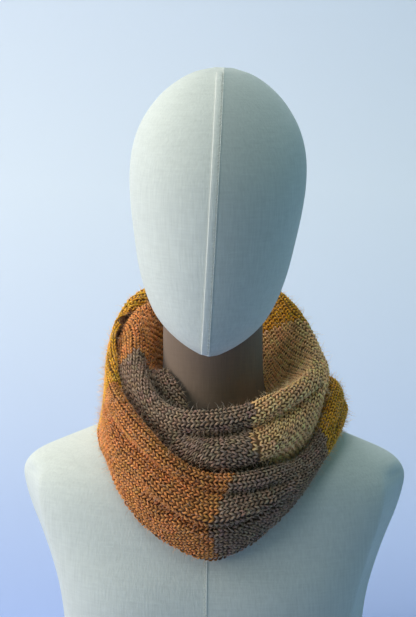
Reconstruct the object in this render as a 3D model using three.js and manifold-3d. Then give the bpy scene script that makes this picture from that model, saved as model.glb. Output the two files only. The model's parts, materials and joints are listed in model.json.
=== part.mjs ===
// An infinity scarf on a limbless dress form: a knitted tube, pressed flat, joined into a ring and wound twice
// round the neck of a cloth-covered bust with a plain egg-shaped head.
// Millimetres, +Z up. The form faces -Y, its neck's axis is the Z axis, and it stands on z = 0.
import * as THREE from "three";
import Module from "manifold-3d";

const wasm = await Module();
wasm.setup();

// Driving dimensions
const CLOTH_THICKNESS = 6; // the flat tube: two layers of knit, each 3 mm
const BEND_SHARE = 0.5; // how much of a bend's radius the cloth inside it may fill
const FREE_GAP = 0.3; // between pieces that meet
const TURNS_DEGREES = 720; // the ring passes twice round the neck
const OUTER_LEG_STEPS = 13; // from the outer edge up to the crest
const INNER_LEG_STEPS = 7; // from the crest down to the inner edge
const STEP_DEGREES = 7; // between sections of the cloth
const TORSO_SIDES = 48;
const FACET_SIDES = 4; // how many of them, from each flank forwards, lie in the flat facet below the armhole
const FACET_TOP = 207; // where the facet fades into the shoulder
const FACET_FADE = 10;
const HEAD_SIDES = 28;
const NECK_SIDES = 28;
const HEAD_TURN = THREE.MathUtils.degToRad(3); // the face looks a little to its left
const HEAD_TILT = THREE.MathUtils.degToRad(3.1); // and its top leans the same way
const HEAD_MIDDLE = new THREE.Vector3(4, -22, 438);
const KEEL = 4; // how far the seam down the middle of the face stands out
const KEEL_REACH = 0.56; // the share of the half width over which it fades

// A table's rows as objects, one key a column.
const table = (columns, rows) =>
  rows.map((row) => Object.fromEntries(columns.map((column, i) => [column, row[i]])));

// Sections of the wound cloth: the crest that it folds over, the radius of that fold, how far it is folded from 0
// for open to 1 for closed, the leg outside it and the leg inside it. Turn 0 is the front of the first round,
// which lies inside and above, and turn 360 the front of the second, outside and below. The rounds change places
// at the back.
const SECTIONS = table(
  [
    ...["turn", "crestRadius", "crestHeight", "rollRadius", "folded", "bellyRadius", "bellyFall"],
    ...["hemRadius", "outerFall", "innerRadius", "innerFall"],
  ],
  [
    [0, 83, 265, 9, 1, 97, 30, 90, 60, 66, 20],
    [20, 85, 269, 9, 1, 98, 32, 90, 60, 67, 20],
    [38, 88.5, 277, 8.5, 1, 102, 36, 92, 59, 68, 20],
    [50, 91, 282, 8.2, 1, 102, 39, 94, 59, 67, 20],
    [62, 93.5, 288, 8, 1, 103, 33, 95, 55, 66, 22],
    [75, 94.5, 295, 7.5, 1, 103.5, 19.5, 94, 49, 64, 28],
    [90, 93, 302, 7, 1, 101, 14, 90, 40, 61, 37],
    [105, 91, 313, 7, 1, 97, 14, 93, 36, 60, 49],
    [120, 91, 329, 7, 1, 97, 18, 96, 38, 60, 64],
    [150, 98, 353, 6.5, 1, 107, 32, 106, 58, 74, 62],
    [180, 103, 358, 6, 1, 112, 38, 113, 74, 95, 28],
    [210, 101, 355, 5, 1, 109, 46, 111, 86, 94, 18],
    [235, 94.5, 344, 4.8, 0.8, 101, 46, 104, 86, 90.5, 6],
    [250, 92.5, 330, 4, 0.3, 98, 40, 100, 76, 90.5, -4],
    [265, 92, 314, 4, 0, 94.5, 32, 97, 64, 90.5, -8],
    [280, 93, 299, 4, 0.1, 97.5, 40, 102, 60, 90.5, -5],
    [292, 95, 287, 4.2, 0.5, 102.5, 44, 105, 58, 91.5, 1],
    [304, 98, 276, 4.5, 0.9, 108, 48, 107, 58, 92.5, 8],
    [316, 100, 265, 5, 1, 113, 47, 111, 68, 94, 14],
    [330, 104, 250, 6.5, 1, 118, 47, 111, 77, 97, 17],
    [345, 108.5, 230, 7, 1, 121, 44, 109, 74, 101, 18],
    [360, 110, 217, 7, 1, 122, 41, 108, 71, 102, 18],
    [375, 110, 216, 7, 1, 121, 36, 108, 63, 102, 17],
    [390, 109, 219, 6.5, 1, 119, 27, 109, 48, 102, 15],
    [405, 108, 222, 6, 1, 117, 15, 111, 28, 102, 12],
    [420, 109.5, 236, 5.5, 1, 116, 11, 112, 18, 103.5, 11],
    [435, 110, 263, 5, 1, 118, 17, 114, 30, 104.5, 11],
    [450, 109, 277, 5, 1, 119.5, 20, 116, 34, 103, 13],
    [480, 101, 274, 5, 1, 110, 18, 109, 35, 93, 22],
    [510, 91, 272, 5.5, 1, 101, 18, 101, 36, 80, 28],
    [540, 79, 316, 6.5, 1, 89, 32, 92, 58, 62, 44],
    [570, 78, 342, 8, 1, 88, 30, 88, 62, 57, 58],
    [600, 77, 338, 9, 1, 86, 28, 86, 60, 52.5, 58],
    [618, 73.5, 330, 12, 1, 85.5, 26, 85, 58, 51.5, 50],
    [630, 71.5, 321, 13.5, 1, 85, 27, 84, 56, 51, 42],
    [645, 71.5, 306, 13, 1, 84.5, 27, 83, 52, 51, 24],
    [660, 73, 291, 11.5, 1, 83.5, 26, 82.5, 50, 51, 0],
    [675, 75, 278, 10, 1, 83.5, 27, 83, 50, 51, -8],
    [690, 78, 268, 9.5, 1, 86, 28, 85.5, 54, 52, -6],
    [705, 81, 264, 9, 1, 91, 29, 88.5, 58, 58, 10],
  ],
);

// The largest folds, one row each: where its middle lies, how far it reaches each way, its place on the leg from
// -1 at the outer edge through 0 at the crest to 1 at the inner edge, how that place drifts over a degree of turn,
// its half width as a share of the leg, its depth, out of the cloth or into it, and how far it hangs down.
const FOLDS = table(
  ["turn", "reach", "place", "drift", "halfWidth", "depth", "hang"],
  [
    [12, 52, -0.55, 0, 0.25, 9, 5], // the first round's lower bulge
    [5, 34, -0.31, 0, 0.15, -13, 0], // the hollow under its top roll
    [46, 34, -0.27, 0.001, 0.13, -8, 0],
    [100, 45, -0.5, 0, 0.2, -3, 0],
    [178, 60, -0.55, 0.001, 0.16, -6, 0], // the back
    [205, 55, -0.26, -0.001, 0.13, -4, 0],
    [225, 40, -0.78, 0, 0.12, -4, 0],
    [328, 44, -0.28, 0.004, 0.12, -9, 0], // the second round: under its top roll
    [378, 34, -0.24, -0.003, 0.11, -8, 0],
    [363, 48, -0.41, 0, 0.12, 7, 6], // the fold that hangs over the crease
    [364, 40, -0.56, 0.001, 0.1, -14, 0], // the crease
    [436, 34, -0.45, 0, 0.2, -4, 0], // the second round's right side
    [668, 50, 0.5, 0, 0.3, -8, 0], // inside the first round, on the left
  ],
);

// Where the cloth is parted into its stretches: the first round in front, the turn across the back that passes
// over, the second round in front, and the turn that passes under.
const STRETCHES = table(
  ["name", "from", "to"],
  [
    ["upper_wrap", -112, 112],
    ["crossing_over", 112, 248],
    ["lower_wrap", 248, 472],
    ["crossing_under", 472, 608],
  ],
);

// The torso's level sections, one row each: half its width, how far it reaches in front and behind, and the
// exponent of its outline, where 2 is an ellipse.
const TORSO = table(
  ["height", "halfWidth", "front", "back", "exponent"],
  [
    [0, 135, 88, 80, 2.5],
    [40, 137, 103, 87, 2.5],
    [66, 139, 110, 91, 2.5],
    [90, 143, 112, 94, 2.5],
    [114, 150, 108, 97, 2.5],
    [138, 159, 100, 98, 2.5],
    [160, 168, 93, 97, 2.45],
    [180, 174, 86, 93, 2.35],
    [194, 175.5, 80, 88, 2.2],
    [204, 171, 75, 84, 2.05],
    [212, 161, 69, 80, 2],
    [221, 141, 65, 76, 1.95],
    [230, 119, 61, 71, 1.95],
    [240, 95, 56, 65, 1.95],
    [250, 71, 52, 59, 1.95],
    [260, 56, 50, 54, 2],
  ],
);

// The neck's round sections.
const NECK = table(
  ["height", "radius"],
  [
    [260, 50],
    [275, 47],
    [295, 45.5],
    [350, 45],
    [362, 44],
  ],
);

// The egg-shaped head's level sections, from its middle line: half its width, and how far it reaches in front
// and behind.
const HEAD = table(
  ["height", "halfWidth", "front", "back"],
  [
    [314, 4, 61, -40],
    [317, 13, 66, -18],
    [323, 25.5, 71.5, 8],
    [332, 38, 76, 30],
    [344, 49, 80, 48],
    [362, 58.5, 84, 66],
    [385, 66, 88, 80],
    [412, 71.5, 90, 90],
    [440, 76.2, 90, 96],
    [466, 78.3, 86, 98],
    [490, 76.5, 77, 95],
    [512, 69.5, 65, 86],
    [533, 56, 49, 71],
    [547, 41, 34, 53],
    [556.5, 24.5, 19, 32],
    [561, 8, 6, 10],
  ],
);

const mix = (a, b, share) => a + (b - a) * share;

// The value of a column at a place between the rows, on a smooth curve through them. With a period, the rows
// close on themselves.
function follow(rows, along, column, at, period = 0) {
  const count = rows.length;
  const place = period ? THREE.MathUtils.euclideanModulo(at, period) : at;
  const row = (i) => {
    const nearest = THREE.MathUtils.clamp(i, 0, count - 1);
    const wrapped = rows[period ? THREE.MathUtils.euclideanModulo(i, count) : nearest];
    return [wrapped[along] + (period ? Math.floor(i / count) * period : 0), wrapped[column]];
  };
  let i = 0;
  while (i < count - (period ? 1 : 2) && row(i + 1)[0] <= place) i += 1;
  const [[xa, ya], [xb, yb], [xc, yc], [xd, yd]] = [row(i - 1), row(i), row(i + 1), row(i + 2)];
  const slopeB = (yc - ya) / Math.max(xc - xa, 1e-9);
  const slopeC = (yd - yb) / Math.max(xd - xb, 1e-9);
  const span = xc - xb;
  const t = (place - xb) / span;
  return (
    yb * (1 + 2 * t) * (1 - t) ** 2 +
    slopeB * span * t * (1 - t) ** 2 +
    yc * t * t * (3 - 2 * t) +
    slopeC * span * t * t * (t - 1)
  );
}

// A soft bump that is 1 at 0 and fades to nothing at 1 and beyond.
const bump = (x) => (Math.abs(x) < 1 ? Math.cos((Math.PI / 2) * x) ** 2 : 0);

// The degrees from one turn to another, the short way along the wound ring.
const turnsApart = (a, b) =>
  THREE.MathUtils.euclideanModulo(a - b + TURNS_DEGREES / 2, TURNS_DEGREES) - TURNS_DEGREES / 2;

// The middle line of the cloth at a turn, in radius and height, from its outer edge over the crest to its inner edge.
function middleLine(turn) {
  const at = (column) => follow(SECTIONS, "turn", column, turn, TURNS_DEGREES);
  const [radius, top, roll] = [at("crestRadius"), at("crestHeight"), at("rollRadius")];
  const [outerFall, innerFall] = [at("outerFall"), at("innerFall")];
  const folded = THREE.MathUtils.clamp(at("folded"), 0, 1);
  const crest = new THREE.Vector2(radius, top);
  const outerShoulder = new THREE.Vector2(radius + roll * mix(0.3, 1, folded), top - roll);
  const innerShoulder = new THREE.Vector2(radius - roll * mix(0.15, 1, folded), top - roll * mix(-1, 1, folded));
  const innerEdge = new THREE.Vector2(at("innerRadius"), top - innerFall);
  const arcs = new THREE.SplineCurve([
    new THREE.Vector2(at("hemRadius"), top - outerFall),
    new THREE.Vector2(at("bellyRadius"), top - at("bellyFall")),
    outerShoulder,
    crest,
    innerShoulder,
    innerShoulder.clone().lerp(innerEdge, 0.5),
    innerEdge,
  ]);
  const fine = arcs.getPoints(240);
  const crestIndex = 120; // the crest is the fourth of the seven points
  const legs = [fine.slice(0, crestIndex + 1), fine.slice(crestIndex)];
  const even = (points, steps) => {
    const lengths = [0];
    points.slice(1).forEach((p, i) => lengths.push(lengths[i] + p.distanceTo(points[i])));
    const total = lengths[lengths.length - 1];
    let i = 0;
    return Array.from({ length: steps + 1 }, (_, n) => {
      const want = (total * n) / steps;
      while (i < points.length - 2 && lengths[i + 1] < want) i += 1;
      return points[i].clone().lerp(points[i + 1], (want - lengths[i]) / (lengths[i + 1] - lengths[i]));
    });
  };
  const outer = even(legs[0], OUTER_LEG_STEPS).map((p, n) => ({ p, place: n / OUTER_LEG_STEPS - 1 }));
  const inner = even(legs[1], INNER_LEG_STEPS).map((p, n) => ({ p, place: n / INNER_LEG_STEPS }));
  return [...outer, ...inner.slice(1)];
}

// The directions out of the cloth's showing face at each point of a line.
function normalsOf(points) {
  return points.map((_, i) => {
    const before = points[Math.max(i - 1, 0)];
    const after = points[Math.min(i + 1, points.length - 1)];
    const along = after.clone().sub(before).normalize();
    return new THREE.Vector2(along.y, -along.x);
  });
}

// The middle line with the folds pressed into it.
function foldedLine(turn) {
  const line = middleLine(turn);
  const normals = normalsOf(line.map(({ p }) => p));
  return line.map(({ p, place }, i) => {
    const folded = p.clone();
    for (const fold of FOLDS) {
      const away = turnsApart(turn, fold.turn);
      const share = bump(away / fold.reach) * bump((place - fold.place - fold.drift * away) / fold.halfWidth);
      folded.addScaledVector(normals[i], fold.depth * share);
      folded.y -= fold.hang * share;
    }
    return folded;
  });
}

// Half the cloth's thickness towards one side at each point of a line. In a tight bend it is pressed thinner on the
// inside, so that no face crosses itself.
function halfThickness(points, normals, side) {
  const half = points.map((point, i) => {
    if (i === 0 || i === points.length - 1) return CLOTH_THICKNESS / 2;
    const [toBefore, toAfter] = [points[i - 1].clone().sub(point), points[i + 1].clone().sub(point)];
    const inwards = toBefore.clone().normalize().add(toAfter.clone().normalize());
    const bendsThisWay = inwards.dot(normals[i]) * side > 0;
    const chord = points[i - 1].distanceTo(points[i + 1]);
    const radius = (toBefore.length() * toAfter.length() * chord) / (2 * Math.abs(toBefore.cross(toAfter)) + 1e-9);
    return Math.min(CLOTH_THICKNESS / 2, bendsThisWay ? BEND_SHARE * radius : Infinity);
  });
  return half.map((_, i) => Math.min(...half.slice(Math.max(i - 2, 0), i + 3)));
}

// The closed outline of the cloth at a turn: its showing face, its inner edge, its hidden face and its outer edge.
function clothSection(turn) {
  const line = foldedLine(turn);
  const normals = normalsOf(line);
  const last = line.length - 1;
  const [showingHalf, hiddenHalf] = [1, -1].map((side) => halfThickness(line, normals, side));
  const beyond = (i, sign) =>
    line[i].clone().add(new THREE.Vector2(-normals[i].y, normals[i].x).multiplyScalar((CLOTH_THICKNESS / 2) * sign));
  const showing = line.map((p, i) => p.clone().addScaledVector(normals[i], showingHalf[i]));
  const hidden = line.map((p, i) => p.clone().addScaledVector(normals[i], -hiddenHalf[i]));
  const outline = [...showing, beyond(last, 1), ...hidden.reverse(), beyond(0, -1)];
  const angle = THREE.MathUtils.degToRad(turn);
  return outline.map((p) => new THREE.Vector3(p.x * Math.sin(angle), -p.x * Math.cos(angle), p.y));
}

function geometryOf(vertices, faces) {
  const geometry = new THREE.BufferGeometry();
  geometry.setAttribute("position", new THREE.Float32BufferAttribute(vertices.flatMap((v) => v.toArray()), 3));
  geometry.setIndex(faces.flat());
  return geometry;
}

// The faces between rings of equal count, each ring's points in the same order.
function sideFaces(rings) {
  const count = rings[0].length;
  return rings.slice(1).flatMap((_, j) =>
    rings[0].flatMap((__, i) => {
      const [a, b] = [j * count + i, j * count + ((i + 1) % count)];
      return [
        [a, b, b + count],
        [a, b + count, a + count],
      ];
    }),
  );
}

// A stretch of the cloth, whose two ends are cut along the turn's own radius.
function clothStretch(from, to) {
  const endGap = THREE.MathUtils.radToDeg(FREE_GAP / 2 / 46); // half the gap, at the smallest radius
  const [start, stop] = [from + endGap, to - endGap];
  const steps = Math.round((stop - start) / STEP_DEGREES);
  const rings = Array.from({ length: steps + 1 }, (_, n) => clothSection(mix(start, stop, n / steps)));
  const count = rings[0].length;
  const face = OUTER_LEG_STEPS + INNER_LEG_STEPS + 1; // points on the showing face
  // An end's two faces are joined rung by rung, and each edge's own point closes a triangle.
  const endFaces = (offset) => {
    const across = (i) => offset + count - 2 - i;
    const rungs = Array.from({ length: face - 1 }, (_, i) => [
      [offset + i, across(i), across(i + 1)],
      [offset + i, across(i + 1), offset + i + 1],
    ]).flat();
    return [...rungs, [offset + face - 1, across(face - 1), offset + face], [offset, offset + count - 1, across(0)]];
  };
  const flip = ([a, b, c]) => [a, c, b];
  const faces = [...sideFaces(rings), ...endFaces(0), ...endFaces((rings.length - 1) * count).map(flip)];
  return geometryOf(rings.flat(), faces.map(flip));
}

// A closed solid through level rings, from the lowest up, with a fan across each end.
function levelSolid(rings) {
  const count = rings[0].length;
  const middle = (ring) => ring.reduce((sum, v) => sum.add(v), new THREE.Vector3()).divideScalar(count);
  const vertices = [...rings.flat(), middle(rings[0]), middle(rings[rings.length - 1])];
  const [low, high] = [vertices.length - 2, vertices.length - 1];
  const top = (rings.length - 1) * count;
  const fans = rings[0].flatMap((_, i) => [
    [low, (i + 1) % count, i],
    [high, top + i, top + ((i + 1) % count)],
  ]);
  return geometryOf(vertices, [...sideFaces(rings), ...fans]);
}

// A level ring whose outline is a rounded shape with its own reach in front and behind.
function levelRing(sides, height, halfWidth, front, back, exponent) {
  return Array.from({ length: sides }, (_, i) => {
    const angle = (2 * Math.PI * i) / sides;
    const power = (x) => Math.sign(x) * Math.abs(x) ** (2 / exponent);
    const [middle, depth] = [(back - front) / 2, (back + front) / 2];
    return new THREE.Vector3(halfWidth * power(Math.cos(angle)), middle + depth * power(Math.sin(angle)), height);
  });
}

// The ring with each flank's front part drawn flat, between the flank's own point and the crease in front of it.
function withFacets(ring) {
  const share = THREE.MathUtils.clamp((FACET_TOP - ring[0].z) / FACET_FADE, 0, 1);
  const half = TORSO_SIDES / 2;
  for (const [flank, step] of [[0, -1], [half, 1]]) {
    const at = (n) => ring[(flank + step * n + TORSO_SIDES) % TORSO_SIDES];
    for (let n = 1; n < FACET_SIDES; n += 1) {
      at(n).lerp(at(0).clone().lerp(at(FACET_SIDES), n / FACET_SIDES), share);
    }
  }
  return ring;
}

function torsoGeometry() {
  const levels = [172, 183, 191, 197, 202, 207, 212, 219, 227, 235, 244, 252, 260];
  const heights = [...Array.from({ length: 9 }, (_, i) => i * 20), ...levels];
  const column = (name, at) => follow(TORSO, "height", name, at);
  return levelSolid(
    heights.map((at) => {
      const sizes = ["halfWidth", "front", "back", "exponent"].map((name) => column(name, at));
      return withFacets(levelRing(TORSO_SIDES, at, ...sizes));
    }),
  );
}

// The seam's keel: the front half of a level ring is drawn out towards its middle.
function withKeel(ring) {
  const middle = (ring[HEAD_SIDES / 4].y + ring[(3 * HEAD_SIDES) / 4].y) / 2;
  const reach = KEEL_REACH * ring[0].x;
  for (const v of ring) if (v.y < middle) v.y -= KEEL * Math.max(1 - Math.abs(v.x) / reach, 0) ** 2;
  return ring;
}

function headGeometry(extra = 0) {
  const pose = new THREE.Euler(0, HEAD_TILT, HEAD_TURN, "ZYX");
  const worn = (v) => v.setZ(v.z - HEAD_MIDDLE.z).applyEuler(pose).add(HEAD_MIDDLE);
  const grow = (height) => height + (extra * (height - HEAD_MIDDLE.z)) / 125;
  const ringOf = ({ height, halfWidth, front, back }) =>
    levelRing(HEAD_SIDES, grow(height), halfWidth + extra, front + extra, back + extra, 2);
  return levelSolid(HEAD.map((row) => withKeel(ringOf(row)).map(worn)));
}

function toManifold(geometry) {
  return new wasm.Manifold(
    new wasm.Mesh({
      numProp: 3,
      vertProperties: geometry.attributes.position.array,
      triVerts: new Uint32Array(geometry.index.array),
    }),
  );
}

function fromManifold(solid) {
  const { vertProperties, triVerts } = solid.getMesh();
  const geometry = new THREE.BufferGeometry();
  geometry.setAttribute("position", new THREE.BufferAttribute(vertProperties, 3));
  geometry.setIndex(new THREE.BufferAttribute(triVerts, 1));
  return geometry;
}

// The neck rises into the head, which is cut out of it with the free gap.
function neckGeometry() {
  const rings = NECK.map(({ height, radius }) =>
    levelRing(NECK_SIDES, height === NECK[0].height ? height + FREE_GAP : height, radius, radius, radius, 2),
  );
  return fromManifold(toManifold(levelSolid(rings)).subtract(toManifold(headGeometry(FREE_GAP))));
}

const LINEN = new THREE.MeshStandardMaterial({ color: 0xc9ccc8, roughness: 0.9, metalness: 0 });
const KNIT = {
  upper_wrap: new THREE.MeshStandardMaterial({ color: 0x8f7f70, roughness: 1, metalness: 0 }),
  crossing_over: new THREE.MeshStandardMaterial({ color: 0xc79a3e, roughness: 1, metalness: 0 }),
  lower_wrap: new THREE.MeshStandardMaterial({ color: 0xc08552, roughness: 1, metalness: 0 }),
  crossing_under: new THREE.MeshStandardMaterial({ color: 0xd9b27a, roughness: 1, metalness: 0 }),
};

function named(name, geometry, material) {
  const mesh = new THREE.Mesh(geometry, material);
  mesh.name = name;
  return mesh;
}

const form = new THREE.Group();
form.add(
  named("form_torso", torsoGeometry(), LINEN),
  named("form_neck", neckGeometry(), LINEN),
  named("form_head", headGeometry(), LINEN),
);

const scarf = new THREE.Group();
for (const { name, from, to } of STRETCHES) scarf.add(named(name, clothStretch(from, to), KNIT[name]));

const scarfOnForm = new THREE.Group();
scarfOnForm.add(form, scarf);

export default scarfOnForm;
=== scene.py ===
# A knitted ring scarf, wound twice round the neck of a linen-covered form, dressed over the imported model.
import json
import math

import bpy
import numpy as np
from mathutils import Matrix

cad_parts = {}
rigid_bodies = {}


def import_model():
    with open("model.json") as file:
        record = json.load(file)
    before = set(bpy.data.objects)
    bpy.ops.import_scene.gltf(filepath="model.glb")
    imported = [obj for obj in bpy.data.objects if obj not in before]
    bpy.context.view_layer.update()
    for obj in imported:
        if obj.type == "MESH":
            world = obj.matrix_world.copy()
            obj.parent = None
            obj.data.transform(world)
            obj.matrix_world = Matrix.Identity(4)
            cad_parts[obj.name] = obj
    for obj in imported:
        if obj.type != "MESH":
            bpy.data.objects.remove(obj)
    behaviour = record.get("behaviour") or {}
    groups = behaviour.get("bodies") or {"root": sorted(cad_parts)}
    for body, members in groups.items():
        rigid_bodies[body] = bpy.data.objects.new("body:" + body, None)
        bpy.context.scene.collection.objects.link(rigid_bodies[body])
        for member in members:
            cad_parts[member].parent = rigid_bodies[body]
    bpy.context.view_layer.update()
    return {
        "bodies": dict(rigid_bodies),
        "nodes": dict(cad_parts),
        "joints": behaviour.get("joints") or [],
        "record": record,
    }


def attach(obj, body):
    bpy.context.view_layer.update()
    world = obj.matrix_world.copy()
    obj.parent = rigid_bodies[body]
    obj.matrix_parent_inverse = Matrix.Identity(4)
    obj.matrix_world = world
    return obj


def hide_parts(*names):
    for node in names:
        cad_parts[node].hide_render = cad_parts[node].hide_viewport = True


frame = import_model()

MM = 0.001
TURNS = 720.0  # the ring passes twice round the neck

# The flat tube: its faces stand this far from the middle line, and its hollow this far
FACE_HALF = 1.9
HOLLOW_HALF = 0.6
CLOTH_RINGS = 300
HOLLOW_RINGS = 150

# Stitches, from the front of the first round on
ROW_HEIGHT = 4.0
WALE_WIDTH = 5.2
CREST_END = 0.15  # the place across the face where the rows inside the crest begin
MEAN_FACE = 96.0  # the usual width of one face of the flat tube
STITCH_SETS = 6
FIBRES = 12000
FIBRE_KINDS = 8
STANDING_FIBRES = 0.4  # the share of them that stands out as a halo

# The form
SIDES = 144
FACET_SHARE = 4 / 48  # of the way round, from each flank forwards
FACET_TOP = 207.0
FACET_FADE = 10.0
HEAD_TURN = math.radians(3)
HEAD_TILT = math.radians(3.1)
HEAD_MIDDLE = np.array([4.0, -22.0, 438.0])
KEEL = 4  # how far the seam down the middle of the face stands out
KEEL_REACH = 0.56

# The studio
CAMERA_TURN = math.radians(3)
CAMERA_RISE = math.radians(8)
CAMERA_AWAY = 1.4
CAMERA_AIM = np.array([-0.0045, 0.0, 0.345])


def table(columns, rows):
    """Rows of sizes as one array a column."""
    return dict(zip(columns.split(), np.array(rows, float).T))


# Sections of the wound cloth: the crest that it folds over, that fold's radius, how far it is folded,
# the leg outside it and the leg inside it. Turn 0 is the first round's front, 360 the second's.
SECTIONS = table(
    "turn crest_radius crest_height roll_radius folded belly_radius belly_fall"
    " hem_radius outer_fall inner_radius inner_fall",
    [
        [0, 83, 265, 9, 1, 97, 30, 90, 60, 66, 20],
        [20, 85, 269, 9, 1, 98, 32, 90, 60, 67, 20],
        [38, 88.5, 277, 8.5, 1, 102, 36, 92, 59, 68, 20],
        [50, 91, 282, 8.2, 1, 102, 39, 94, 59, 67, 20],
        [62, 93.5, 288, 8, 1, 103, 33, 95, 55, 66, 22],
        [75, 94.5, 295, 7.5, 1, 103.5, 19.5, 94, 49, 64, 28],
        [90, 93, 302, 7, 1, 101, 14, 90, 40, 61, 37],
        [105, 91, 313, 7, 1, 97, 14, 93, 36, 60, 49],
        [120, 91, 329, 7, 1, 97, 18, 96, 38, 60, 64],
        [150, 98, 353, 6.5, 1, 107, 32, 106, 58, 74, 62],
        [180, 103, 358, 6, 1, 112, 38, 113, 74, 95, 28],
        [210, 101, 355, 5, 1, 109, 46, 111, 86, 94, 18],
        [235, 94.5, 344, 4.8, 0.8, 101, 46, 104, 86, 90.5, 6],
        [250, 92.5, 330, 4, 0.3, 98, 40, 100, 76, 90.5, -4],
        [265, 92, 314, 4, 0, 94.5, 32, 97, 64, 90.5, -8],
        [280, 93, 299, 4, 0.1, 97.5, 40, 102, 60, 90.5, -5],
        [292, 95, 287, 4.2, 0.5, 102.5, 44, 105, 58, 91.5, 1],
        [304, 98, 276, 4.5, 0.9, 108, 48, 107, 58, 92.5, 8],
        [316, 100, 265, 5, 1, 113, 47, 111, 68, 94, 14],
        [330, 104, 250, 6.5, 1, 118, 47, 111, 77, 97, 17],
        [345, 108.5, 230, 7, 1, 121, 44, 109, 74, 101, 18],
        [360, 110, 217, 7, 1, 122, 41, 108, 71, 102, 18],
        [375, 110, 216, 7, 1, 121, 36, 108, 63, 102, 17],
        [390, 109, 219, 6.5, 1, 119, 27, 109, 48, 102, 15],
        [405, 108, 222, 6, 1, 117, 15, 111, 28, 102, 12],
        [420, 109.5, 236, 5.5, 1, 116, 11, 112, 18, 103.5, 11],
        [435, 110, 263, 5, 1, 118, 17, 114, 30, 104.5, 11],
        [450, 109, 277, 5, 1, 119.5, 20, 116, 34, 103, 13],
        [480, 101, 274, 5, 1, 110, 18, 109, 35, 93, 22],
        [510, 91, 272, 5.5, 1, 101, 18, 101, 36, 80, 28],
        [540, 79, 316, 6.5, 1, 89, 32, 92, 58, 62, 44],
        [570, 78, 342, 8, 1, 88, 30, 88, 62, 57, 58],
        [600, 77, 338, 9, 1, 86, 28, 86, 60, 52.5, 58],
        [618, 73.5, 330, 12, 1, 85.5, 26, 85, 58, 51.5, 50],
        [630, 71.5, 321, 13.5, 1, 85, 27, 84, 56, 51, 42],
        [645, 71.5, 306, 13, 1, 84.5, 27, 83, 52, 51, 24],
        [660, 73, 291, 11.5, 1, 83.5, 26, 82.5, 50, 51, 0],
        [675, 75, 278, 10, 1, 83.5, 27, 83, 50, 51, -8],
        [690, 78, 268, 9.5, 1, 86, 28, 85.5, 54, 52, -6],
        [705, 81, 264, 9, 1, 91, 29, 88.5, 58, 58, 10],
    ],
)

# Folds pressed into the cloth: where each lies round the ring and across the face (-1 outer edge, 0 crest,
# 1 inner edge), how it drifts, and its depth.
FOLDS = table(
    "turn reach place drift half_width depth hang",
    [
        [12, 52, -0.55, 0, 0.25, 9, 5],
        [5, 34, -0.31, 0, 0.15, -13, 0],
        [46, 34, -0.27, 0.001, 0.13, -8, 0],
        [100, 45, -0.5, 0, 0.2, -3, 0],
        [178, 60, -0.55, 0.001, 0.16, -6, 0],
        [205, 55, -0.26, -0.001, 0.13, -4, 0],
        [225, 40, -0.78, 0, 0.12, -4, 0],
        [328, 44, -0.28, 0.004, 0.12, -9, 0],
        [378, 34, -0.24, -0.003, 0.11, -8, 0],
        [363, 48, -0.41, 0, 0.12, 7, 6],
        [364, 40, -0.56, 0.001, 0.1, -14, 0],
        [436, 34, -0.45, 0, 0.2, -4, 0],
        [668, 50, 0.5, 0, 0.3, -8, 0],
    ],
)

# The smaller folds, which only the dressed cloth has
FINE_FOLDS = table(
    "turn reach place drift half_width depth hang",
    [
        [46, 30, -0.34, 0.002, 0.13, -6, 0],
        [10, 28, -0.31, 0, 0.11, -6, 0],
        [364, 36, -0.56, 0.001, 0.07, -3, 0],
        [318, 30, -0.42, 0.004, 0.1, -3, 0],
        [340, 30, -0.12, 0.001, 0.1, 2, 0],
    ],
)

# How far the columns of stitches slip over the crest, in mm, as the tube rolls round the neck
SLIP = table(
    "turn slip",
    [
        [0, 0],
        [20, -1],
        [45, -10],
        [75, -28],
        [100, -44],
        [130, -58],
        [190, -35],
        [250, 0],
        [360, 0],
        [440, 0],
        [480, 18],
        [530, 25],
        [575, 18],
        [600, 0],
        [625, -20],
        [650, -20],
        [690, 0],
    ],
)

# Under the roll at the right front the cloth fans out: its columns climb steeply from the outer edge
FAN_FROM = 24.0
FAN_TO = 112.0
FAN_BELOW = -0.27
FAN_ROW_HEIGHT = 3.3
FAN_SLIP = table(
    "turn slip",
    [
        [15, -0.8],
        [24, -2],
        [40, -15],
        [60, -46],
        [80, -77],
        [100, -97],
        [112, -103],
        [120, -107],
    ],
)

# Blocks of yarn in the order that they are knitted: where each begins at the outer edge, half way up,
# at the crest and at the inner edge
BLOCKS = [
    ("taupe", -75, -75, -76, -75),
    ("cream", 38, 21, 27, 30),
    ("yellow", 118, 118, 118, 162),
    ("orange", 285, 290, 298, 300),
    ("taupe", 365, 361, 373, 374),
    ("yellow", 420, 421, 424, 424),
    ("orange", 556, 556, 560, 566),
    ("taupe", 645, 645, 644, 645),
]
YARNS = {
    "taupe": (158, 129, 106),
    "cream": (252, 200, 138),
    "yellow": (224, 164, 48),
    "orange": (214, 140, 74),
}

TORSO = table(
    "height half_width front back exponent",
    [
        [0, 135, 88, 80, 2.5],
        [40, 137, 103, 87, 2.5],
        [66, 139, 110, 91, 2.5],
        [90, 143, 112, 94, 2.5],
        [114, 150, 108, 97, 2.5],
        [138, 159, 100, 98, 2.5],
        [160, 168, 93, 97, 2.45],
        [180, 174, 86, 93, 2.35],
        [194, 175.5, 80, 88, 2.2],
        [204, 171, 75, 84, 2.05],
        [212, 161, 69, 80, 2],
        [221, 141, 65, 76, 1.95],
        [230, 119, 61, 71, 1.95],
        [240, 95, 56, 65, 1.95],
        [250, 71, 52, 59, 1.95],
        [260, 56, 50, 54, 2],
    ],
)

NECK = table("height radius", [[260, 50], [275, 47], [295, 45.5], [350, 45], [362, 44]])

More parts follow.
